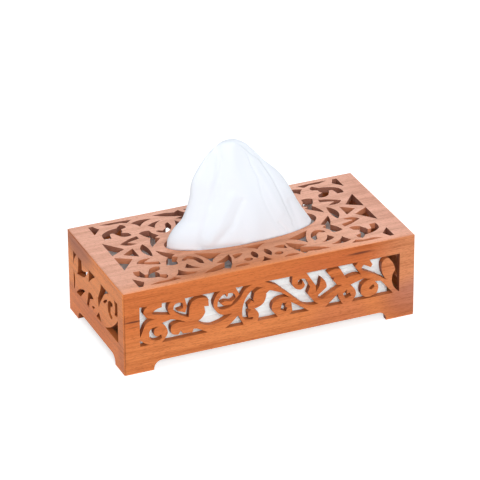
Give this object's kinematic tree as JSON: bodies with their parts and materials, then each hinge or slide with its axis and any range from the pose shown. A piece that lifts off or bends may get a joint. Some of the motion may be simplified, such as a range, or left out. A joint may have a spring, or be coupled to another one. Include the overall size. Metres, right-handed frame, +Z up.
{
  "type": "napkin holder",
  "caption": "Oblong wooden napkin holder with scroll fretwork in its walls and lid, corner feet, a sliding base, and napkins pulled up through an oval opening.",
  "frame": {"origin": "middle of the footprint, on the surface the feet stand on", "axes": "+X along the long side towards the end the base comes out of, +Y from the front wall to the rear wall, +Z up"},
  "size_m": [0.26, 0.127, 0.162],
  "materials": {
    "stained_wood": "satin",
    "base_board": "matte",
    "napkin_paper": "matte"
  },
  "bodies": {
    "box": {"top_panel": "stained_wood", "front_panel": "stained_wood", "right_panel": "stained_wood", "rear_panel": "stained_wood", "left_panel": "stained_wood", "napkin_stack": "napkin_paper"},
    "base": {"base_panel": "base_board"},
    "napkin": {"pulled_napkin": "napkin_paper"}
  },
  "joints": [
    {"name": "base_slide", "type": "slide", "parent": "box", "child": "base", "axis": [1, 0, 0], "range_m": [0, 0.25]},
    {"name": "napkin_pull", "type": "slide", "parent": "box", "child": "napkin", "axis": [0, 0, 1], "range_m": [0, 0.12]}
  ]
}
